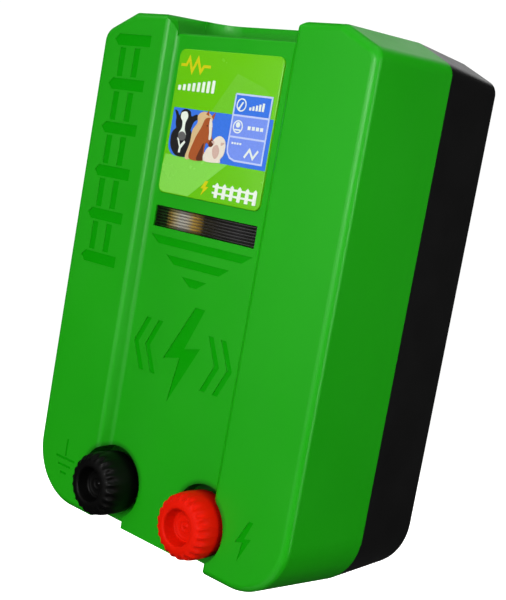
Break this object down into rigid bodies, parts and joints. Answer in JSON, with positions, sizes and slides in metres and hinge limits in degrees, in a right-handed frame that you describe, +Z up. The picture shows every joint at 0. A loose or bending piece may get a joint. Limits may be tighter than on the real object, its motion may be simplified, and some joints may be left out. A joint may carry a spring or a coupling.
{
  "type": "fence energizer",
  "caption": "Wall-hung mains electric fence unit: tall moulded case with a recessed front channel, smoked display window and screw-down output terminal knobs.",
  "frame": {"origin": "centre of the flat back that lies on the wall", "axes": "+X to the right seen from the front, +Y out of the back into the wall, +Z up"},
  "size_m": [0.1596, 0.0977, 0.2485],
  "materials": {
    "green_case": "satin fine-textured ABS moulding",
    "black_case": "satin black ABS moulding",
    "seal_rubber": "soft dull rubber",
    "label_face": "glossy domed resin over print",
    "smoked_window": "smoked polycarbonate, polished and ribbed",
    "light_segments": "diffusing lens bar",
    "circuit_board": "solder-masked glass laminate",
    "ribbon_grey": "flat cable",
    "bright_screws": "zinc-plated steel",
    "brass_fittings": "turned brass",
    "plated_washer": "nickel-plated",
    "black_knob": "semi-gloss moulded",
    "red_knob": "semi-gloss moulded",
    "black_wire": "PVC insulation",
    "red_wire": "PVC insulation",
    "gland_black": "moulded nylon",
    "bush_nylon": "natural nylon",
    "capacitor_can": "sleeved aluminium can",
    "sink_aluminium": "extruded, as drawn",
    "chip_black": "moulded epoxy",
    "varistor_blue": "dipped epoxy",
    "resistor_body": "lacquered ceramic",
    "choke_green": "coated ferrite",
    "fuse_glass": "clear tube",
    "core_steel": "varnished laminations",
    "bobbin_white": "moulded nylon",
    "copper_winding": "enamelled copper wire"
  },
  "bodies": {
    "case": {"board_resistors": "resistor_body", "board_screws": "bright_screws", "bridge_rectifier": "chip_black", "case_gasket": "seal_rubber", "case_screws": "bright_screws", "control_chip": "chip_black", "display_board": "circuit_board", "display_ribbon": "ribbon_grey", "display_screws": "bright_screws", "display_window": "smoked_window", "earth_lug": "plated_washer", "earth_stud": "brass_fittings", "earth_wire": "black_wire", "fence_lug": "plated_washer", "fence_stud": "brass_fittings", "fence_wire": "red_wire", "front_cover": "green_case", "fuse_clips": "plated_washer", "gland_body": "gland_black", "gland_cap": "gland_black", "gland_nut": "gland_black", "gland_seal": "seal_rubber", "heat_sink": "sink_aluminium", "label_plate": "label_face", "led_bar": "light_segments", "main_board": "circuit_board", "mains_fuse": "fuse_glass", "output_bobbin": "bobbin_white", "output_core": "core_steel", "output_screws": "bright_screws", "output_winding": "copper_winding", "rear_shell": "black_case", "storage_capacitors": "capacitor_can", "stud_bushes": "bush_nylon", "stud_lock_nuts": "brass_fittings", "stud_nuts": "brass_fittings", "stud_seals": "seal_rubber", "stud_washers": "brass_fittings", "supply_bobbin": "bobbin_white", "supply_core": "core_steel", "supply_screws": "bright_screws", "supply_winding": "copper_winding", "suppressor_choke": "choke_green", "surge_varistor": "varistor_blue", "terminal_block": "bush_nylon", "terminal_screws": "bright_screws", "thyristor": "chip_black", "window_seal": "seal_rubber"},
    "earth_clamp": {"earth_clamp_washer": "plated_washer"},
    "earth_turn": {"earth_knob": "black_knob", "earth_insert": "brass_fittings"},
    "fence_clamp": {"fence_clamp_washer": "plated_washer"},
    "fence_turn": {"fence_knob": "red_knob", "fence_insert": "brass_fittings"}
  },
  "joints": [
    {"name": "earth_lift", "type": "slide", "parent": "case", "child": "earth_clamp", "axis": [0, -1, 0], "range_m": [0, 0.0075]},
    {"name": "earth_turn", "type": "hinge", "parent": "earth_clamp", "child": "earth_turn", "pos_m": [-0.0284, -0.0794, -0.0962], "axis": [0, -1, 0], "range_deg": [0, 2160]},
    {"name": "fence_lift", "type": "slide", "parent": "case", "child": "fence_clamp", "axis": [0, -1, 0], "range_m": [0, 0.0075]},
    {"name": "fence_turn", "type": "hinge", "parent": "fence_clamp", "child": "fence_turn", "pos_m": [0.0284, -0.0794, -0.0962], "axis": [0, -1, 0], "range_deg": [0, 2160]}
  ],
  "couplings": [
    {"joint": "earth_lift", "follows": "earth_turn", "m_per_rad": 0.00019894},
    {"joint": "fence_lift", "follows": "fence_turn", "m_per_rad": 0.00019894}
  ]
}
